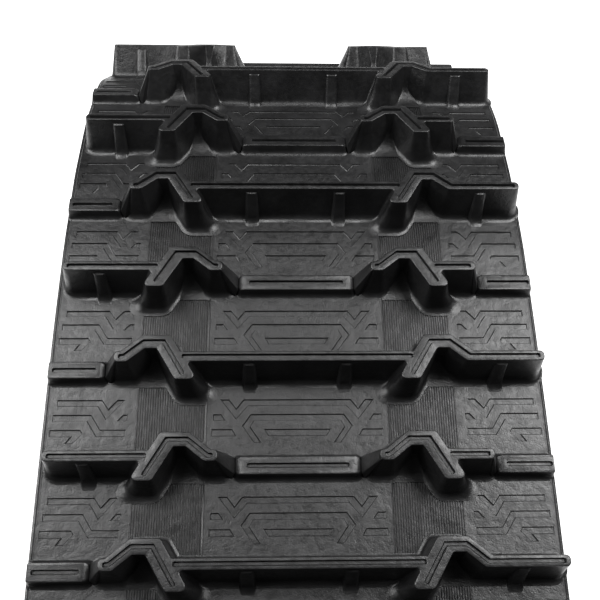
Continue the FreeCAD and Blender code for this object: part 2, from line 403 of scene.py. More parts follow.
@dataclass
class Outline:
    """Closed outline of a lug seen from above, clockwise, as its straight sides."""

    sides: list[Side]
    convex_radius: float = 3.2
    concave_radius: float = 2.2
    corner_steps: int = 6

    def mirrored(self) -> "Outline":
        """The same outline on the other side of the belt's centre."""
        turned = [
            Side((-side.end[0], side.end[1]), (-side.start[0], side.start[1]), side.half, side.wall,
                 tuple(Buttress(-rib.across) for rib in side.buttresses))
            for side in reversed(self.sides)
        ]
        return Outline(turned, self.convex_radius, self.concave_radius, self.corner_steps)

    def ring(self, lift: float, cap: float) -> list[Solid]:
        """The outline at one lift above the skin.

        Args:
            lift: height above the skin.
            cap: height at which the buttresses end.

        Returns:
            Points round the outline, always the same number of them.
        """
        lines = [side.line(lift) for side in self.sides]
        count = len(lines)
        corners = [crossing(lines[place - 1], lines[place]) for place in range(count)]
        turns = [self.turn(lines[place - 1][1], lines[place][1]) for place in range(count)]
        wanted = []
        for place, turn in enumerate(turns):
            spreads = [self.sides[place - 1].wall.spread(lift), self.sides[place].wall.spread(lift)]
            radius = self.convex_radius + max(sum(spreads) / 2, 0.0) if turn < 0 else self.concave_radius
            wanted.append(radius * math.tan(abs(turn) / 2))
        shares = []
        for place in range(count):
            after = (place + 1) % count
            length = float(np.linalg.norm(corners[after] - corners[place]))
            shares.append(min(1.0, 0.97 * length / (wanted[place] + wanted[after])))
        points: list[np.ndarray] = []
        for place, side in enumerate(self.sides):
            reach = wanted[place] * min(shares[place - 1], shares[place])
            points += self.rounded(lines[place - 1][1], corners[place], turns[place], reach)
            run = lines[place][1]
            outwards = np.array([-run[1], run[0]])
            for rib in side.buttresses:
                middle = lines[place][0] + run * (rib.across - lines[place][0][0]) / run[0]
                points += [middle + run * step + outwards * out for step, out in rib.profile(lift, cap)]
        return [(x, y, SKIN_TOP + lift) for x, y in points]

    @staticmethod
    def turn(before: np.ndarray, after: np.ndarray) -> float:
        """Angle from one direction to the next, negative where it turns right."""
        bend = before[0] * after[1] - before[1] * after[0]
        return math.atan2(bend, float(np.dot(before, after)))

    def rounded(self, before: np.ndarray, corner: np.ndarray, turn: float,
                reach: float) -> list[np.ndarray]:
        """Points of one corner rounded with an arc, which takes up a reach of the sides."""
        radius = reach / math.tan(abs(turn) / 2)
        inwards = np.array([-before[1], before[0]]) * math.copysign(1.0, turn)
        start = corner - before * reach
        angles = np.linspace(0.0, abs(turn), self.corner_steps)
        return [start + before * radius * math.sin(a) + inwards * radius * (1 - math.cos(a))
                for a in angles]


def band(path: Sequence[Flat], half: float, lift: float) -> list[Solid]:
    """Closed ring round an open path, half a width each side, with rounded ends.

    Args:
        path: the path's points.
        half: half the band's width.
        lift: height of the ring above the cord ply.

    Returns:
        The ring's points.
    """
    spine = [np.array(point, float) for point in path]
    runs = [(b - a) / np.linalg.norm(b - a) for a, b in zip(spine, spine[1:])]
    left, right = [], []
    for place, point in enumerate(spine):
        before, after = runs[max(place - 1, 0)], runs[min(place, len(runs) - 1)]
        middle = (before + after) / np.linalg.norm(before + after)
        side = np.array([-middle[1], middle[0]]) * half / float(np.dot(middle, after))
        left.append(point + side)
        right.append(point - side)
    nose = [spine[-1] + runs[-1] * half * 0.6 + (left[-1] - spine[-1]) * 0.6,
            spine[-1] + runs[-1] * half * 0.6 + (right[-1] - spine[-1]) * 0.6]
    tail = [spine[0] - runs[0] * half * 0.6 + (right[0] - spine[0]) * 0.6,
            spine[0] - runs[0] * half * 0.6 + (left[0] - spine[0]) * 0.6]
    return [(x, y, lift) for x, y in (*left, *nose, *right[::-1], *tail)]


# rows of lugs


class RowKind(Enum):
    """The two rows of lugs that take turns round the belt."""

    SPANNING = "spanning"
    SPLIT = "split"


@dataclass(frozen=True)
class Web:
    """Sloping web between the end of a tall lug and the low block beside it."""

    tip_reach: float = 1.6
    lip_reach: float = 0.5
    lip_drop: float = 0.3
    foot_reach: float = 2.0
    foot_splay: float = 3.0
    block_reach: float = 2.5
    front_splay: float = 2.4
    back_splay: float = 1.6
    margin: float = 0.6
    side_margin: float = 0.4
    top_drop: float = 0.5
    crest_drop: float = 1.6
    foot_drop: float = 0.8
    rounding: float = 0.7

    def draw(self, draft: Draft, rows: "LugRows", end: float, half: float, block: float) -> None:
        """Draws one web.

        Args:
            draft: where the web is drawn.
            rows: the lugs' sizes.
            end: where the tall lug ends, across the belt.
            half: half the tall lug's thickness there.
            block: where the low block's end drops off, across the belt.
        """
        inwards = math.copysign(1.0, end - block)
        front = -rows.low_offset - rows.low_half + self.margin
        back = -rows.low_offset + rows.low_half - self.margin
        high, low = SKIN_TOP + rows.height - self.top_drop, SKIN_TOP + rows.low_height - self.crest_drop
        foot, side = SKIN_TOP - self.foot_drop, half - self.side_margin
        points = []
        for reach, width, lift in ((self.tip_reach, side, high), (self.lip_reach, side, high - self.lip_drop),
                                   (self.foot_reach, half + self.foot_splay, foot)):
            points += [(end + inwards * reach, -width, lift), (end + inwards * reach, width, lift)]
        points += [(block, front, low), (block, back, low)]
        points += [(block + inwards * self.block_reach, front - self.front_splay, foot),
                   (block, back + self.back_splay, foot)]
        draft.hull(points, self.rounding)


@dataclass
class LugRows:
    """Tall folded lugs and low blocks, one pattern for each kind of row."""

    layout: BeltLayout
    height: float = 31.75
    low_height: float = 8.5
    bar_half: float = 3.9
    rise_half: float = 4.7
    stub_half: float = 4.1
    peak_half: float = 5.3
    leg_half: float = 6.9
    foot_spanning: float = 84.3
    foot_split: float = 108.1
    leg_run: float = 14.8
    peak_run: float = 14.5
    rise_run: float = 14.4
    peak_offset: float = 11.5
    foot_offset: float = 13.3
    foot_tip: float = 17.6
    stub: float = 7.0
    bar_end: float = 183.5
    split_bar_end: float = 179.8
    short_bar_end: float = 138.8
    slot_half: float = 1.8
    slot_depth: float = 2.2
    slot_land: float = 4.2
    foot_land: float = 0.3
    low_offset: float = 2.9
    low_half: float = 6.6
    low_start: float = 149.2
    low_crest: float = 145.0
    low_margin: float = 2.4
    centre_low_half: float = 42.2
    centre_low_crest: float = 46.2
    left_low_slot: Flat = (-184.2, -153.2)
    centre_low_slot: Flat = (-36.3, 36.3)
    right_low_slot: Flat = (154.0, 186.0)
    inner_rib: float = 36.0
    outer_rib: float = 152.0
    buttress_cap: float = 27.6
    sunk: float = 1.2
    front: Wall = field(init=False)
    back: Wall = field(init=False)
    pocket: Wall = field(init=False)
    hollow: Wall = field(init=False)
    edge_end: Wall = field(init=False)
    inner_end: Wall = field(init=False)
    halves: tuple[float, ...] = field(init=False)
    fronts: tuple[Wall, ...] = field(init=False)

    def __post_init__(self) -> None:
        """Draws up the sections of the tall lugs' walls."""
        self.front = Wall(self.height, 6.6, 4.3)
        self.back = Wall(self.height, 1.4, 3.0)
        self.pocket = Wall(self.height, 3.4, 3.6)
        self.hollow = Wall(self.height, 3.4, 17.2)
        self.edge_end = Wall(self.height, 4.5, 3.0)
        self.inner_end = Wall(self.height, 9.0, 3.0)
        self.halves = (self.leg_half, self.peak_half, self.rise_half, self.stub_half)
        self.fronts = (self.pocket, self.hollow, self.front, self.front)

    def fold(self, foot: float, outwards: int) -> list[Flat]:
        """Centreline of a fold: foot, long leg, peak, short leg and stub."""
        leg, peak = foot + outwards * self.leg_run, foot + outwards * (self.leg_run + self.peak_run)
        shoulder = peak + outwards * self.rise_run
        return [(foot, -self.foot_offset), (leg, self.peak_offset), (peak, self.peak_offset),
                (shoulder, 0.0), (shoulder + outwards * self.stub, 0.0)]

    @staticmethod
    def chain(path: Sequence[Flat], halves: Sequence[float], walls: Sequence[Wall]) -> list[Side]:
        """Sides along a path, each with its half thickness and its wall."""
        return [Side(*ends) for ends in zip(path, path[1:], halves, walls)]

    def tip(self, foot: Flat) -> Side:
        """The side across a foot's tip."""
        return Side((foot[0], -self.foot_tip), (foot[0] - 1, -self.foot_tip), 0.0, self.front)

    def spanning_outline(self) -> Outline:
        """Outline of the lug that runs from the left fold, over the middle, to the right edge."""
        right, left = self.fold(self.foot_spanning, 1), self.fold(-self.foot_spanning, -1)
        right[4] = (self.bar_end, 0.0)
        backs, halves, fronts = [self.back] * 4, self.halves, self.fronts
        share = self.foot_offset / (self.foot_offset + self.peak_offset)
        cross = self.foot_spanning + self.leg_run * share
        ribs = (Buttress(self.inner_rib), Buttress(-self.inner_rib))
        return Outline([
            end_side(left[4][0], 1, self.inner_end),
            *self.chain(left[::-1], halves[::-1], backs),
            Side((-cross, 0), (cross, 0), self.bar_half, self.back),
            *self.chain(right, (*halves[:3], self.bar_half), backs),
            end_side(self.bar_end, -1, self.edge_end),
            Side(right[4], right[3], self.bar_half, self.front, (Buttress(self.outer_rib),)),
            *self.chain(right[3::-1], halves[2::-1], fronts[2::-1]),
            self.tip(right[0]),
            Side(right[0], right[1], self.leg_half, self.front),
            Side((cross, 0), (-cross, 0), self.bar_half, self.front, ribs),
            Side(left[1], left[0], self.leg_half, self.front),
            self.tip(left[0]),
            *self.chain(left, halves, fronts),
        ])

    def split_outline(self, bar_end: float, end_wall: Wall, ribs: tuple[Buttress, ...]) -> Outline:
        """Outline of the left lug of a split row, out to a bar end at the given distance."""
        fold = self.fold(-self.foot_split, 1)
        outer, bar_stop = (-bar_end, 0.0), (fold[0][0], 0.0)
        return Outline([
            end_side(-bar_end, 1, end_wall),
            Side(outer, bar_stop, self.bar_half, self.back),
            *self.chain(fold, self.halves, [self.back] * 4),
            end_side(fold[4][0], -1, self.inner_end),
            *self.chain(fold[::-1], self.halves[::-1], self.fronts[::-1]),
            self.tip(fold[0]),
            Side(fold[0], fold[1], self.leg_half, self.front),
            Side(bar_stop, outer, self.bar_half, self.front, ribs),
        ])

    def carve(self, draft: Draft, outline: Outline, height: float, lifts: Sequence[float],
              slots: Sequence[Sequence[Flat]]) -> None:
        """Draws one lug: its walls, its top with slots, and its underside.

        Args:
            draft: where the lug is drawn.
            outline: the lug's outline.
            height: height of its top above the skin.
            lifts: heights of its rings below the top.
            slots: centrelines of the slots in its top, which narrow downwards from a bevelled lip
                and end in a floor with a deeper groove round it.
        """
        rings = [outline.ring(lift, self.buttress_cap) for lift in (height, *lifts)]
        top = SKIN_TOP + height
        mouths = [band(path, self.slot_half, top) for path in slots]
        draft.cap(rings[0], mouths)
        draft.rings(rings)
        draft.cap(rings[-1])
        for path, mouth in zip(slots, mouths):
            steps = ((0.2, 0.25), (0.35, self.slot_depth + 0.9), (0.8, self.slot_depth + 0.9),
                     (0.9, self.slot_depth))
            rings = [band(path, self.slot_half - inwards, top - down) for inwards, down in steps]
            draft.rings([mouth, *rings])
            draft.cap(rings[-1])

    @property
    def tall_lifts(self) -> list[float]:
        """Heights of a tall lug's rings below its top."""
        top, cap = self.height, self.buttress_cap
        return [top - 0.12, top - 0.4, top - 0.9, top - 1.6, cap + 0.01, cap - 0.5, cap - 1.2,
                21.0, 17.2, 14.0, 11.2, 9.0, 7.5, 6.0, 4.6, 3.4, 2.4, 1.5, 0.8, 0.3, 0.0, -self.sunk]

    @property
    def low_lifts(self) -> list[float]:
        """Heights of a low block's rings below its top."""
        top = self.low_height
        return [top - 0.12, top - 0.4, top - 0.9, top - 1.6, 5.0, 4.0, 3.0, 2.1, 1.3, 0.6, 0.2, 0.0,
                -self.sunk]

    def slot(self, path: Sequence[Flat], first_land: float | None = None) -> list[Flat]:
        """A slot's centreline, which stops a land short of the path's ends."""
        lands = (self.slot_land if first_land is None else first_land, self.slot_land)
        ends = []
        for tip, beside, land in ((path[0], path[1], lands[0]), (path[-1], path[-2], lands[1])):
            run = math.dist(tip, beside)
            ends.append(tuple(a + (b - a) * land / run for a, b in zip(tip, beside)))
        return [ends[0], *path[1:-1], ends[1]]

    def draw(self, kind: RowKind) -> Draft:
        """Draws one row of lugs, flat, round the row's line."""
        draft = Draft()
        if kind is RowKind.SPANNING:
            lows, webs = self.draw_spanning(draft)
        else:
            lows, webs = self.draw_split(draft)
        for webbed in webs:
            Web().draw(draft, self, *webbed)
        low, line = self.low_height, -self.low_offset
        back, front = Wall(low, 1.0, 1.8), Wall(low, 1.8, 3.0)
        for ends, (left, right), slot in lows:
            sides = block_sides(ends, line, self.low_half, (left, back, right, front))
            slots = [[(slot[0], line), (slot[1], line)]]
            self.carve(draft, Outline(sides, convex_radius=1.2), low, self.low_lifts, slots)
        return draft

    def low_ends(self) -> tuple[Slope, Slope]:
        """Sections of a low block's ends: flush at the belt's edge, and bevelled."""
        top = self.low_height
        return Slope((0.0, top), (1.6, 0.0)), Slope((0.0, top - 2.2, top - 0.9, top), (6.4, 4.2, 2.6, 0.0))

    def draw_spanning(self, draft: Draft) -> tuple[list[tuple], list[Solid]]:
        """Draws the tall lug of a spanning row, and lists the row's low blocks and webs."""
        fold = self.fold(self.foot_spanning, 1)
        mirrored = [(-x, y) for x, y in fold]
        bar = self.foot_spanning + self.slot_land
        slots = [self.slot(mirrored, self.foot_land),
                 self.slot([*fold[:4], (self.bar_end, 0.0)], self.foot_land),
                 self.slot([(-bar, 0.0), (bar, 0.0)])]
        self.carve(draft, self.spanning_outline(), self.height, self.tall_lifts, slots)
        ends = self.low_margin - BELT_HALF, -self.low_start
        return [(ends, self.low_ends(), self.left_low_slot)], [(-fold[4][0], self.stub_half, -self.low_crest)]

    def draw_split(self, draft: Draft) -> tuple[list[tuple], list[Solid]]:
        """Draws the two tall lugs of a split row, and lists the row's low blocks and webs."""
        fold = self.fold(-self.foot_split, 1)
        for bar_end, wall, ribs, flip in (
            (self.split_bar_end, self.edge_end, (Buttress(-self.outer_rib),), False),
            (self.short_bar_end, self.inner_end, (), True),
        ):
            outline = self.split_outline(bar_end, wall, ribs)
            bar = [(-bar_end, 0.0), (-self.foot_split + self.slot_land, 0.0)]
            slots = [self.slot(fold, self.foot_land), self.slot(bar)]
            if flip:
                outline = outline.mirrored()
                slots = [[(-x, y) for x, y in path] for path in slots]
            self.carve(draft, outline, self.height, self.tall_lifts, slots)
        flush, bevel = self.low_ends()
        middle = self.centre_low_half
        lows = [((-middle, middle), (bevel, bevel), self.centre_low_slot),
                ((self.low_start, BELT_HALF - self.low_margin), (bevel, flush), self.right_low_slot)]
        webs = [(side * abs(fold[4][0]), self.stub_half, side * self.centre_low_crest) for side in (-1, 1)]
        return lows, [*webs, (self.short_bar_end, self.bar_half, self.low_crest)]

    def build(self, rubber: Paint) -> None:
        """Places every row of lugs round the belt, in the given finish."""
        on_rows(self.layout, [self.draw(kind) for kind in RowKind], "lug_row", "tread",
                rubber)



# belt skins


def inset(polygon: Sequence[Flat], distance: float) -> list[Flat]:
    """A polygon drawn in by a distance along every side."""
    area = sum(a[0] * b[1] - b[0] * a[1] for a, b in zip(polygon, [*polygon[1:], polygon[0]]))
    turned = list(polygon) if area < 0 else list(polygon)[::-1]
    sides = [Side(a, b, -distance, Slope((0.0,), (0.0,))) for a, b in zip(turned, [*turned[1:], turned[0]])]
    lines = [side.line(0.0) for side in sides]
    return [tuple(crossing(lines[place - 1], lines[place])) for place in range(len(lines))]


@dataclass
class Panel:
    """Surface of one pitch of the belt, flat, from one row's line to the next."""

    layout: BeltLayout
    band_steps: tuple[Flat, ...] = ((0.0, 0.0), (0.25, 0.9), (0.7, 1.2))
    centre_half: float = 67.9
    bead_width: float = 1.7
    bead_height: float = 0.4
    rib_drop: float = 0.2
    rib_end: float = 121.0
    rib_pitch: float = 1.8
    rib_height: float = 0.95
    rib_profile: tuple[Flat, ...] = ((0.0, 0.0), (0.42, 0.0), (0.58, 1.0), (0.80, 1.0))
    edge_line: float = 186.2
    edge_profile: tuple[Flat, ...] = ((0.0, 0.0), (0.4, -0.3), (0.8, -0.3), (1.8, 0.6), (2.0, 1.0),
                                      (2.4, 0.7), (3.1, 0.85), (3.8, 1.3))
    edge_bevel: float = 2.3
    side_bend: float = 3.2
    bend_steps: int = 9

    @property
    def stations(self) -> list[float]:
        """Places along the panel at which its surface may bend."""
        start, end = self.layout.flat_half, self.layout.pitch - self.layout.flat_half
        return [0.0, *np.linspace(start, end, self.bend_steps), self.layout.pitch]

    @property
    def centre_bands(self) -> list[list[Flat]]:
        """Sunk bands of the middle panel: left halves, with the spanning ones closed by mirroring."""
        spanning = [
            [(-58.4, 48.7), (-51.6, 48.7), (-46.2, 41.7), (-40.7, 48.7)],
            [(-41.6, 28.3), (-35.2, 37.3)],
            [(-25.2, 25.9)],
        ]
        returning = [
            [(-37.0, 43.7), (-46.2, 33.2)],
            [(-32.5, 32.3), (-35.2, 27.4), (-27.0, 15.4), (-32.5, 15.4)],
            [(-21.8, 20.5)],
        ]
        closed = []
        for upper, lower in zip(spanning, returning):
            flipped = [[(-x, y) for x, y in reversed(run)] for run in (lower, upper)]
            closed.append([*upper, *flipped[1], *flipped[0], *lower])
        small = [
            [(-63.4, 37.3), (-57.5, 37.3), (-53.9, 32.3), (-63.4, 32.3)],
            [(-64.4, 25.9), (-48.9, 25.9), (-45.7, 20.5), (-64.4, 20.5)],
        ]
        return closed + small + [[(-x, y) for x, y in shape] for shape in small]

    @property
    def outer_bands(self) -> list[list[Flat]]:
        """Sunk bands of the right outer panel."""
        return [
            [(130.0, 48.7), (135.9, 48.7), (142.3, 41.7), (147.3, 48.7), (181.0, 48.7),
             (181.0, 43.7), (150.5, 43.7), (143.6, 33.2)],
            [(127.2, 37.3), (130.9, 37.3), (135.4, 32.3), (127.8, 32.3)],
            [(183.3, 37.3), (154.6, 37.3), (147.3, 25.9), (128.1, 25.9), (128.8, 20.5),
             (150.0, 20.5), (157.8, 32.3), (183.3, 32.3)],
            [(184.6, 25.9), (161.9, 25.9), (160.0, 23.0), (166.9, 15.4), (172.8, 15.4),
             (169.1, 20.5), (184.6, 20.5)],
        ]

    def engraved(self, draft: Draft, start: float, end: float, bands: Sequence[Sequence[Flat]]) -> None:
        """Draws a smooth zone of the skin with bands sunk into it.

        Args:
            draft: where the zone is drawn.
            start: left side of the zone.
            end: right side of the zone.
            bands: outlines of the sunk bands.
        """
        points: list[Vector] = []
        edges: list[tuple[int, int]] = []
        faces: list[list[int]] = []
        for station in self.stations:
            points += [Vector((start, station)), Vector((end, station))]
            edges.append((len(points) - 2, len(points) - 1))
        last = len(points) - 1
        faces.append([0, 1, last, last - 1])
        for shape in bands:
            for inwards, _ in self.band_steps:
                loop = inset(shape, inwards)[::-1]
                base = len(points)
                points += [Vector(point) for point in loop]
                faces.append(list(range(base, base + len(loop))))
        made, _, triangles, _, _, sources = delaunay_2d_cdt(points, edges, faces, 0, 1e-5)
        depths = [0.0] * len(made)
        levels = len(self.band_steps)
        for triangle, source in zip(triangles, sources):
            steps = [(number - 1) % levels for number in source if number]
            depth = self.band_steps[max(steps)][1] if steps else 0.0
            for corner in triangle:
                depths[corner] = max(depths[corner], depth)
        lifted = [(point.x, point.y, SKIN_TOP - depth) for point, depth in zip(made, depths)]
        draft.add(lifted, triangles)

    def ribbed_section(self) -> list[Flat]:
        """Section of the right ribbed zone, with the bead on its inner side."""
        bead = self.centre_half + self.bead_width
        low, high = SKIN_TOP - self.rib_drop, SKIN_TOP + self.bead_height
        section = [(self.centre_half, SKIN_TOP), (self.centre_half + 0.3, high),
                   (self.centre_half + 0.6, high), (bead - 0.1, low), (bead, low)]
        floor = low - self.rib_height
        ribs = int((self.rib_end - bead) / self.rib_pitch)
        pitch = (self.rib_end - bead) / ribs
        for rib in range(ribs):
            left = bead + rib * pitch
            section += [(left + pitch * share, floor + self.rib_height * rise)
                        for share, rise in self.rib_profile]
        return section + [(self.rib_end - 0.2, low), (self.rib_end, SKIN_TOP)]

    def edge_section(self) -> list[Flat]:
        """Section of the right edge: a fine lip, a groove, a bevel and the side face."""
        section = [(self.edge_line + across, SKIN_TOP - down) for across, down in self.edge_profile]
        side = (SKIN_TOP - self.edge_bevel, self.side_bend, 0.0)
        return section + [(BELT_HALF, lift) for lift in side]

    def draw(self) -> Draft:
        """Draws one panel of the tread skin with its flat underside."""
        draft = Draft()
        self.engraved(draft, -self.centre_half, self.centre_half, self.centre_bands)
        self.engraved(draft, self.rib_end, self.edge_line, self.outer_bands)
        left_bands = [[(-x, y) for x, y in shape] for shape in self.outer_bands]
        self.engraved(draft, -self.edge_line, -self.rib_end, left_bands)
        for section in (self.ribbed_section(), self.edge_section()):
            draft.grid(section, self.stations)
            draft.grid([(-x, lift) for x, lift in section], self.stations)
        draft.grid([(-BELT_HALF, 0.0), (BELT_HALF, 0.0)], self.stations)
        return draft


@dataclass
class InnerPanel:
    """Inner running surface of one pitch of the belt, flat, from one row's line to the next."""

    panel: Panel
    thickness: float = 3.6
    column_depth: float = 0.7
    columns: tuple[float, float] = (58.0, 133.0)
    column_half: float = 17.0
    groove_half: float = 1.6
    groove_depth: float = 1.1

    def section(self, depth: float) -> list[Flat]:
        """Section across the belt, with the sunk columns that hold the drive lugs."""
        half = [(0.0, -self.thickness + depth)]
        for column in self.columns:
            left, right = column - self.column_half, column + self.column_half
            for across, sunk in ((left - 1.0, 0.0), (left + 0.6, self.column_depth),
                                 (right - 0.6, self.column_depth), (right + 1.0, 0.0)):
                half.append((across, -self.thickness + sunk + depth))
        half += [(BELT_HALF - 2.0, -self.thickness + depth), (BELT_HALF - 0.6, -self.thickness + 0.5),
                 (BELT_HALF, -self.thickness + 1.6), (BELT_HALF, 0.0)]
        return [(-x, lift) for x, lift in reversed(half[1:])] + half

    def draw(self) -> Draft:
        """Draws one panel of the inner rubber, with a shallow flexing groove across its middle."""
        draft = Draft()
        middle = self.panel.layout.pitch / 2
        grooves = [middle - self.groove_half, middle - self.groove_half / 3,
                   middle + self.groove_half / 3, middle + self.groove_half]
        stations = sorted({round(s, 4) for s in [*self.panel.stations, *grooves]
                           if abs(s - middle) > self.groove_half / 4 or s in grooves})
        sunk = [self.groove_depth if abs(s - middle) < self.groove_half / 2 else 0.0 for s in stations]
        draft.sweep([self.section(depth) for depth in sunk], stations)
        draft.grid([(-BELT_HALF, 0.0), (BELT_HALF, 0.0)], stations)
        return draft


@dataclass
class BeltSkins:
    """Skins of the belt, each from the middle of one link to the middle of the next.

    The loop is open at its bottom vertex, so the skins there are in two halves.
    """

    layout: BeltLayout
    gap: float = 0.2
    relief_out: float = math.radians(3.6)
    relief_in: float = math.radians(4.1)

    def stacked(self, panel: Draft, joint: int) -> Draft:
        """Copies of a panel, end to end, from the middle of the link before a joint to the next."""
        draft = Draft()
        flat = np.array(panel.points)
        count = self.layout.rows_per_link
        for number in range(count):
            start = (joint - count / 2 + number) * self.layout.pitch
            draft.add(flat + np.array([0.0, start, 0.0]), panel.faces)
        return draft

    def build(self, name: str, panel: Draft, paint: Paint, slot: str, node: str) -> None:
        """Lays one kind of panel round the whole belt.

        Args:
            name: first part of the pieces' names.
            panel: the flat panel.
            paint: the finish of the pieces.
            slot: the record's material slot; not used.
            node: first part of the names of the nodes that the pieces stand for.
        """
        for number in range(1, self.layout.links + 1):
            joint = number * self.layout.rows_per_link
            bodies = self.layout.link_name(joint - 1), self.layout.link_name(joint)
            parts = [(f"{name}_{number:02d}", self.stacked(panel, joint), 0)]
            if joint == self.layout.rows // 2:
                parts = self.halved(*parts[0][:2], joint * self.layout.pitch)
            for title, part, side in parts:
                piece = show(part.mesh(title, self.place(np.array(part.points)), SKIN_CREASE, fill=True))
                piece.data.materials.append(paint)
                if side:
                    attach(piece, bodies[0] if side < 0 else bodies[1])
                else:
                    self.across_joint(piece, joint)
                for body in bodies:
                    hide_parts(body.replace("link", node))
                LOG.info("%s over %s", title, " and ".join(bodies))

    def place(self, points: np.ndarray) -> np.ndarray:
        """Lays points round the loop, past its top too."""
        length = self.layout.rows * self.layout.pitch
        beyond = points[:, 1] > length + 1e-6
        wrapped = points.copy()
        wrapped[beyond, 1] -= length
        return self.layout.lay(wrapped)

    def halved(self, title: str, draft: Draft, cut: float) -> list[tuple[str, Draft, int]]:
        """Splits a piece at the open vertex and clears its two faces for flexing."""
        flat = np.array(draft.points)
        middle = np.array([flat[list(face), 1].mean() for face in draft.faces])
        halves = []
        for side, word in ((-1, "a"), (1, "b")):
            part = Draft()
            kept = [face for face, along in zip(draft.faces, middle) if (along - cut) * side > 0]
            points = flat.copy()
            at_cut = np.abs(points[:, 1] - cut) < 1e-4
            lift = points[:, 2]
            slant = np.where(lift > 0, lift * math.tan(self.relief_out), -lift * math.tan(self.relief_in))
            points[at_cut, 1] += side * (self.gap + slant[at_cut])
            used = sorted({corner for face in kept for corner in face})
            index = {old: new for new, old in enumerate(used)}
            part.add(points[used], [[index[corner] for corner in face] for face in kept])
            halves.append((f"{title}_{word}", part, side))
        return halves

    def across_joint(self, piece: bpy.types.Object, joint: int) -> None:
        """Bakes the placement of a piece that lies over the joint between its two links into its mesh."""
        tangent = self.layout.pitch / 2 - self.layout.flat_half
        for step, row in ((-tangent, joint - 1), (tangent, joint % self.layout.rows)):
            slope = self.layout.slopes[row]
            y, z = (self.layout.vertices[joint] + self.layout.along(slope) * step) * MM
        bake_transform(piece)


@dataclass
class DriveLugs:
    """Teeth on the belt's inside that the sprocket pushes and the wheels run between."""

    layout: BeltLayout
    columns: tuple[float, ...] = (-133.0, -58.0, 58.0, 133.0)
    width: float = 18.0
    length: float = 26.0
    height: float = 25.0
    taper: float = 4.0
    fillet: float = 3.6
    edge: float = 2.2
    root: float = 3.6

    def draw(self) -> Draft:
        """Draws the lugs of one row, flat, pointing inwards."""
        draft = Draft()
        wall = Wall(self.height, self.taper, self.fillet, self.edge)
        half = self.width / 2 - self.taper, self.length / 2 - self.taper
        lifts = [self.height - drop for drop in (0.0, 0.2, 0.8, 1.6, 2.2, 3.5)]
        lifts += [5.0, 3.6, 2.5, 1.6, 0.9, 0.3, 0.0, -1.2]
        for column in self.columns:
            sides = block_sides((column - half[0], column + half[0]), 0.0, half[1], [wall] * 4)
            outline = Outline(sides, convex_radius=2.8, corner_steps=5)
            rings = [[(x, y, -self.root - lift) for x, y, _ in outline.ring(lift, cap=0.0)]
                     for lift in lifts]
            draft.cap(rings[0])
            draft.rings(rings)
            draft.cap(rings[-1])
        return draft

    def build(self, rubber: Paint) -> None:
        """Places the drive lugs of every row, in the given finish."""
        on_rows(self.layout, [self.draw()], "drive_lugs", "drive", rubber)



# finishes


class Nodes:
    """Short ways to add and join the shader nodes of one material."""

    def __init__(self, name: str) -> None:
        """Starts a material with its surface shader and its output."""
        self.material = bpy.data.materials.new(name)
        self.material.use_nodes = True
        self.tree = self.material.node_tree
        self.shader = next(node for node in self.tree.nodes if node.type == "BSDF_PRINCIPLED")
        self.place = self.add("ShaderNodeTexCoord").outputs["Object"]

    def add(self, kind: str, **settings: object) -> bpy.types.Node:
        """Adds a node and sets its own properties."""
        node = self.tree.nodes.new(kind)
        for key, value in settings.items():
            setattr(node, key, value)
        return node

    def join(self, source: Socket, target: Socket) -> None:
        """Links one socket to another."""
        self.tree.links.new(source, target)

    def noise(self, scale: float, detail: float = 3.0, stretch: Solid = (1.0, 1.0, 1.0)) -> Socket:
        """Noise over the surface, with about scale lumps to the metre."""
        mapping = self.add("ShaderNodeMapping")
        mapping.inputs["Scale"].default_value = stretch
        self.join(self.place, mapping.inputs["Vector"])
        noise = self.add("ShaderNodeTexNoise")
        noise.inputs["Scale"].default_value = scale
        noise.inputs["Detail"].default_value = detail
        self.join(mapping.outputs["Vector"], noise.inputs["Vector"])
        return noise.outputs["Fac"]

    def span(self, value: Socket, low: float, high: float,
             start: float = 0.3, stop: float = 0.7) -> Socket:
        """Stretches a value from start..stop to low..high."""
        node = self.add("ShaderNodeMapRange")
        for key, number in (("From Min", start), ("From Max", stop), ("To Min", low), ("To Max", high)):
            node.inputs[key].default_value = number
        self.join(value, node.inputs["Value"])
        return node.outputs["Result"]

    def shades(self, value: Socket, stops: Sequence[tuple[float, float]],
               tint: Solid = (1.0, 1.0, 1.0)) -> Socket:
        """Greys along a value, tinted, given as (position, brightness)."""
        ramp = self.add("ShaderNodeValToRGB")
        elements = ramp.color_ramp.elements
        while len(elements) < len(stops):
            elements.new(0.5)
        for element, (position, grey) in zip(elements, stops):
            element.position = position
            element.color = (grey * tint[0], grey * tint[1], grey * tint[2], 1.0)
        self.join(value, ramp.inputs["Fac"])
        return ramp.outputs["Color"]

    def bump(self, layers: Sequence[tuple[Socket, float]]) -> None:
        """Stacks bump layers, each a height and its depth in millimetres."""
        normal = None
        for height, depth in layers:
            node = self.add("ShaderNodeBump")
            node.inputs["Strength"].default_value = 1.0
            node.inputs["Distance"].default_value = depth * MM
            self.join(height, node.inputs["Height"])
            if normal is not None:
                self.join(normal, node.inputs["Normal"])
            normal = node.outputs["Normal"]
        self.join(normal, self.shader.inputs["Normal"])


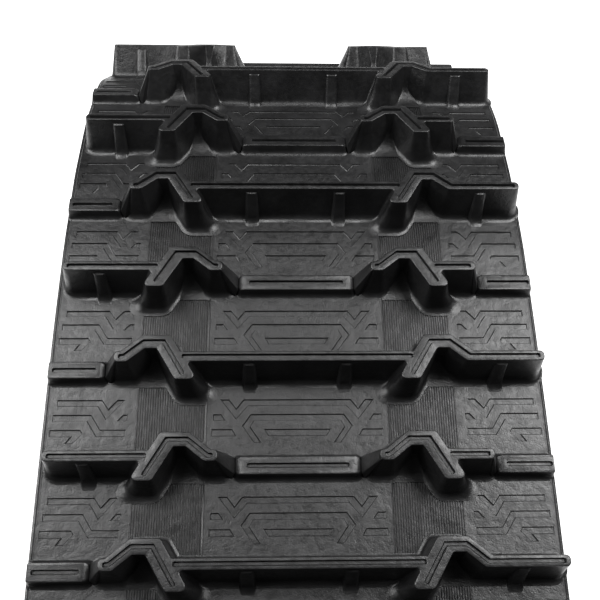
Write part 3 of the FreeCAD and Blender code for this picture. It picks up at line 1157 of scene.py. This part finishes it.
@dataclass(frozen=True)
class Finish:
    """A finish made of noises, each given as lumps to the metre, detail and stretch.

    The patches shade its colour, the wear changes its roughness, and the bumps have depths in
    millimetres.
    """

    name: str
    patches: Noise
    shades: tuple[Flat, ...]
    tint: Solid
    wear: Noise
    rough: Flat
    bumps: tuple[tuple[Noise, float], ...]
    specular: float = 0.5

    def material(self) -> Paint:
        """Makes the material."""
        nodes = Nodes(self.name)
        noises = {kind: nodes.noise(*kind) for kind in (self.patches, self.wear, *dict(self.bumps))}
        shade = nodes.shades(noises[self.patches], self.shades, self.tint)
        nodes.join(shade, nodes.shader.inputs["Base Color"])
        nodes.join(nodes.span(noises[self.wear], *self.rough), nodes.shader.inputs["Roughness"])
        nodes.bump([(noises[kind], depth) for kind, depth in self.bumps])
        nodes.shader.inputs["Specular IOR Level"].default_value = self.specular
        return nodes.material


EVEN: Solid = (1.0, 1.0, 1.0)
RUBBED: Noise = (240.0, 4.0, EVEN)
SATIN_TREAD = Finish(
    name="tread_rubber",
    patches=(45.0, 5.0, EVEN),
    shades=((0.35, 0.006), (0.65, 0.013)),
    tint=(1.0, 1.0, 1.03),
    wear=RUBBED,
    rough=(0.30, 0.46),
    bumps=(((70.0, 2.0, EVEN), 0.6), (RUBBED, 0.25), ((1000.0, 2.0, EVEN), 0.16)),
    specular=0.55,
)
MATT_INNER = Finish(
    name="drive_rubber",
    patches=(40.0, 4.0, EVEN),
    shades=((0.3, 0.014), (0.7, 0.026)),
    tint=EVEN,
    wear=(40.0, 4.0, EVEN),
    rough=(0.55, 0.72),
    bumps=(((900.0, 1.0, (0.3, 1.0, 1.0)), 0.08), ((2000.0, 2.0, EVEN), 0.04)),
)
FIBRES: Noise = (900.0, 3.0, (0.02, 1.0, 1.0))
GLASS_ROD = Finish(
    name="rod_composite",
    patches=FIBRES,
    shades=((0.3, 0.38), (0.7, 0.62)),
    tint=(1.0, 0.95, 0.66),
    wear=FIBRES,
    rough=(0.3, 0.5),
    bumps=((FIBRES, 0.05),),
)


@dataclass(frozen=True)
class CordPly:
    """Rubbered tensile cord: close brown-grey cords along the belt."""

    cords: float = 700.0

    def material(self) -> Paint:
        """Makes the material."""
        nodes = Nodes("cord_ply")
        wave = nodes.add("ShaderNodeTexWave", wave_type="BANDS", bands_direction="X")
        wave.inputs["Scale"].default_value = self.cords
        nodes.join(nodes.place, wave.inputs["Vector"])
        shade = nodes.shades(wave.outputs["Fac"], ((0.1, 0.05), (0.9, 0.17)), (1.0, 0.93, 0.8))
        nodes.join(shade, nodes.shader.inputs["Base Color"])
        nodes.join(nodes.span(nodes.noise(300.0), 0.6, 0.8), nodes.shader.inputs["Roughness"])
        nodes.bump(((wave.outputs["Fac"], 0.25),))
        return nodes.material


@dataclass
class CoreFinish:
    """Finishes of the pieces sealed in the rubber, which keep their own shapes."""

    layout: BeltLayout

    def dress(self, node: str, material: Paint) -> None:
        """Gives one finish to a sealed piece of every link.

        Args:
            node: first part of the nodes' names.
            material: the finish.
        """
        for link in range(1, self.layout.links + 1):
            piece = frame["nodes"][f"{node}_{link:02d}"]
            if not piece.material_slots:
                piece.data.materials.append(material)
            for holder in piece.material_slots:
                holder.material = material
            LOG.info("%s keeps its shape", piece.name)


# studio


@dataclass
class Studio:
    """Pale floor, soft lights and the camera that looks down on the top run."""

    eye: Solid = (-15.8, -6.3, 1263.3)
    tilt: float = 68.11
    swing: float = -4.39
    roll: float = 4.03
    lens: float = 49.67
    floor_half: float = 6.0
    floor_glow: float = 0.8
    sky_glow: float = 0.03
    aim: Solid = (0.0, 0.2, 0.62)
    lamps: tuple[tuple[str, Solid, float, float], ...] = (
        ("left_box", (-1.1, 0.85, 2.5), 1.2, 42.0),
        ("right_box", (1.2, 0.85, 2.45), 1.2, 60.0),
        ("left_low", (-2.0, 0.5, 1.75), 0.8, 24.0),
    )

    def floor(self) -> None:
        """Lays the pale floor that the loop stands on."""
        half = self.floor_half
        mesh = bpy.data.meshes.new("floor")
        mesh.from_pydata([(-half, -half, 0), (half, -half, 0), (half, half, 0), (-half, half, 0)], [],
                         [(0, 1, 2, 3)])
        nodes = Nodes("floor")
        shade = nodes.shades(nodes.noise(3.0), ((0.3, 0.86), (0.7, 0.88)))
        nodes.join(shade, nodes.shader.inputs["Base Color"])
        nodes.shader.inputs["Roughness"].default_value = 0.9
        nodes.shader.inputs["Emission Color"].default_value = (1.0, 1.0, 1.0, 1.0)
        nodes.shader.inputs["Emission Strength"].default_value = self.floor_glow
        mesh.materials.append(nodes.material)
        show(mesh)

    def lamp(self, name: str, place: Solid, size: float, power: float) -> None:
        """Hangs one square soft light that faces the top run.

        Args:
            name: name of the light.
            place: where it hangs, in metres.
            size: length of its sides, in metres.
            power: its power in watts.
        """
        light = bpy.data.lights.new(name, "AREA")
        light.shape = "SQUARE"
        light.size = size
        light.energy = power
        hung = bpy.data.objects.new(name, light)
        bpy.context.scene.collection.objects.link(hung)
        hung.location = place
        hung.rotation_euler = (Vector(self.aim) - Vector(place)).to_track_quat("-Z", "Y").to_euler()

    def lights(self) -> None:
        """Hangs the lights: two soft boxes over the belt and a lower one on the left."""
        for lamp in self.lamps:
            self.lamp(*lamp)
        world = bpy.data.worlds.new("studio")
        world.use_nodes = True
        sky = world.node_tree.nodes["Background"]
        sky.inputs["Color"].default_value = (1.0, 1.0, 1.0, 1.0)
        sky.inputs["Strength"].default_value = self.sky_glow
        bpy.context.scene.world = world

    def camera(self) -> None:
        """Sets the camera over the top run, looking down along the belt."""
        tilt, swing, roll = (math.radians(angle) for angle in (self.tilt, self.swing, self.roll))
        data = bpy.data.cameras.new("camera")
        data.lens = self.lens
        data.sensor_width = 36.0
        camera = bpy.data.objects.new("camera", data)
        bpy.context.scene.collection.objects.link(camera)
        turned = (
            Matrix.Rotation(swing, 4, "Z")
            @ Matrix.Rotation(math.pi / 2 - tilt, 4, "X")
            @ Matrix.Rotation(roll, 4, "Z")
        )
        camera.matrix_world = Matrix.Translation(Vector(self.eye) * MM) @ turned
        bpy.context.scene.camera = camera

    def build(self) -> None:
        """Sets up the whole studio."""
        self.floor()
        self.lights()
        self.camera()
        bpy.context.scene.view_settings.view_transform = "Standard"


def main() -> None:
    """Builds the track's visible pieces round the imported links."""
    logging.basicConfig(level=logging.INFO, format="%(name)s: %(message)s")
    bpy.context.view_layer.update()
    top = next(joint for joint in frame["joints"] if joint["name"] == "flex_top")
    layout = BeltLayout(apex=(top["pos_m"][1] / MM, top["pos_m"][2] / MM))
    Studio().build()
    tread, drive = SATIN_TREAD.material(), MATT_INNER.material()
    LugRows(layout).build(tread)
    panel = Panel(layout)
    skins = BeltSkins(layout)
    skins.build("tread_skin", panel.draw(), tread, "tread_rubber", "tread")
    skins.build("inner_skin", InnerPanel(panel).draw(), drive, "drive_rubber", "drive")
    DriveLugs(layout).build(drive)
    core = CoreFinish(layout)
    core.dress("cord_ply", CordPly().material())
    core.dress("rods", GLASS_ROD.material())


if __name__ == "__main__":
    main()
